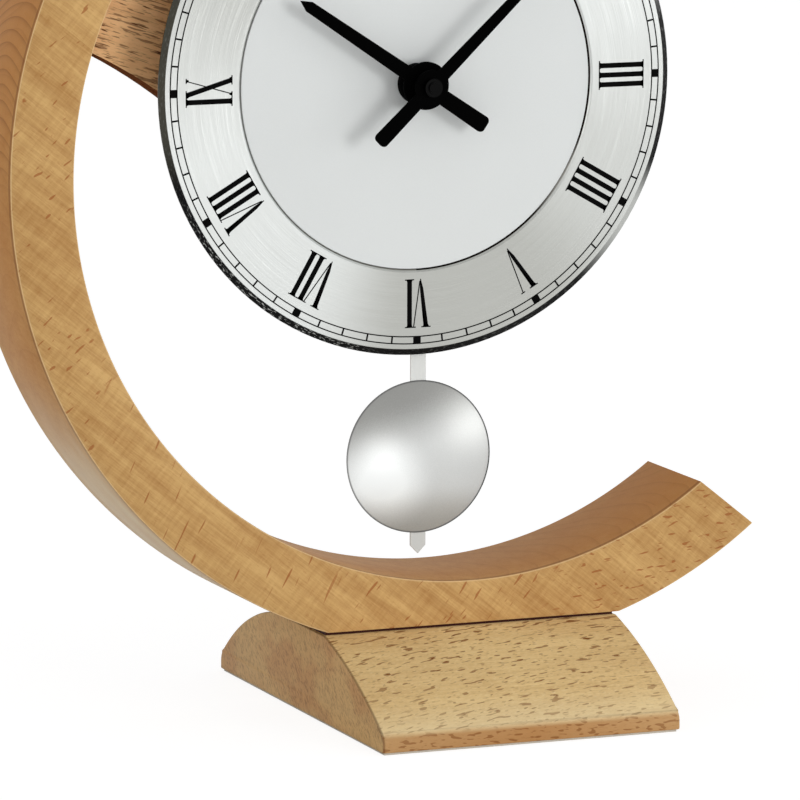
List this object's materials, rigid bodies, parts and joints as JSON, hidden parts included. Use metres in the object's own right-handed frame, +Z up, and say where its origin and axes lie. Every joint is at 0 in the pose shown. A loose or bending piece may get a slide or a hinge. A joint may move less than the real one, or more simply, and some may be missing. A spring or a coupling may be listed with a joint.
{
  "type": "desk pendulum clock",
  "caption": "Wooden C on a foot block that carries a round metal dial, two hands and a flat pendulum.",
  "frame": {"origin": "middle of the underside, on the felt under the foot", "axes": "+Z up, +X to the open side of the C, -Y towards the front of the dial"},
  "size_m": [0.2167, 0.124, 0.2847],
  "materials": {
    "beech": "oiled",
    "dark_spacer": "matte",
    "felt": "natural wool",
    "zinc_steel": "zinc plated",
    "dial_aluminium": "mill finish",
    "brushed_aluminium": "circular brushed",
    "matt_silver": "fine matt silver",
    "black_lacquer": "matt black",
    "rubber": "matte",
    "brass": "turned",
    "black_plastic": "fine texture",
    "white_plastic": "smooth",
    "battery_wrap": "printed sleeve, plain",
    "circuit_green": "solder mask",
    "copper": "enamelled wire",
    "rod_silver": "satin silver",
    "bob_silver": "satin"
  },
  "bodies": {
    "stand": {"c_lower_plank": "beech", "c_middle_plank": "beech", "c_upper_plank": "beech", "c_lower_tip": "beech", "foot_block": "beech", "foot_spacer": "dark_spacer", "foot_felt": "felt", "foot_dowels": "beech", "foot_screws": "zinc_steel", "arm_board": "beech", "arm_dowels": "beech", "dial_plate": "dial_aluminium", "chapter_ring": "brushed_aluminium", "dial_centre_disc": "matt_silver", "dial_nut": "black_lacquer", "dial_washer": "rubber", "centre_tube": "brass", "movement_case": "black_plastic", "movement_cover": "black_plastic", "movement_screws": "zinc_steel", "battery": "battery_wrap", "battery_contacts": "zinc_steel", "circuit_board": "circuit_green", "motor_core": "zinc_steel", "motor_coil": "copper", "drive_coil": "copper", "train_plate": "white_plastic", "hanger_pin": "zinc_steel"},
    "minute_hand": {"minute_hand": "black_lacquer", "hand_nut": "black_lacquer", "minute_arbor": "zinc_steel"},
    "hour_hand": {"hour_hand": "black_lacquer", "hour_wheel": "white_plastic"},
    "reduction_wheel": {"reduction_wheel": "white_plastic"},
    "setter": {"setting_shaft": "white_plastic", "setting_knob": "black_plastic"},
    "pendulum": {"pendulum_rod": "rod_silver", "drive_magnet": "zinc_steel", "bob_front": "bob_silver", "bob_back": "bob_silver", "bob_clip": "zinc_steel"}
  },
  "joints": [
    {"name": "minute_hand_turn", "type": "hinge", "parent": "stand", "child": "minute_hand", "pos_m": [-0.017, 0, 0.17471], "axis": [0, 1, 0], "continuous": true},
    {"name": "hour_hand_turn", "type": "hinge", "parent": "stand", "child": "hour_hand", "pos_m": [-0.017, 0, 0.17471], "axis": [0, 1, 0], "continuous": true},
    {"name": "reduction_wheel_turn", "type": "hinge", "parent": "stand", "child": "reduction_wheel", "pos_m": [-0.017, 0, 0.18431], "axis": [0, 1, 0], "continuous": true},
    {"name": "setter_turn", "type": "hinge", "parent": "stand", "child": "setter", "pos_m": [-0.017, 0, 0.19391], "axis": [0, 1, 0], "continuous": true},
    {"name": "pendulum_swing", "type": "hinge", "parent": "stand", "child": "pendulum", "pos_m": [-0.0155, 0, 0.18971], "axis": [0, 1, 0], "range_deg": [-6, 6]}
  ],
  "couplings": [
    {"joint": "hour_hand_turn", "follows": "minute_hand_turn", "ratio": 0.083333},
    {"joint": "reduction_wheel_turn", "follows": "minute_hand_turn", "ratio": -0.33333},
    {"joint": "setter_turn", "follows": "minute_hand_turn", "ratio": 1}
  ]
}
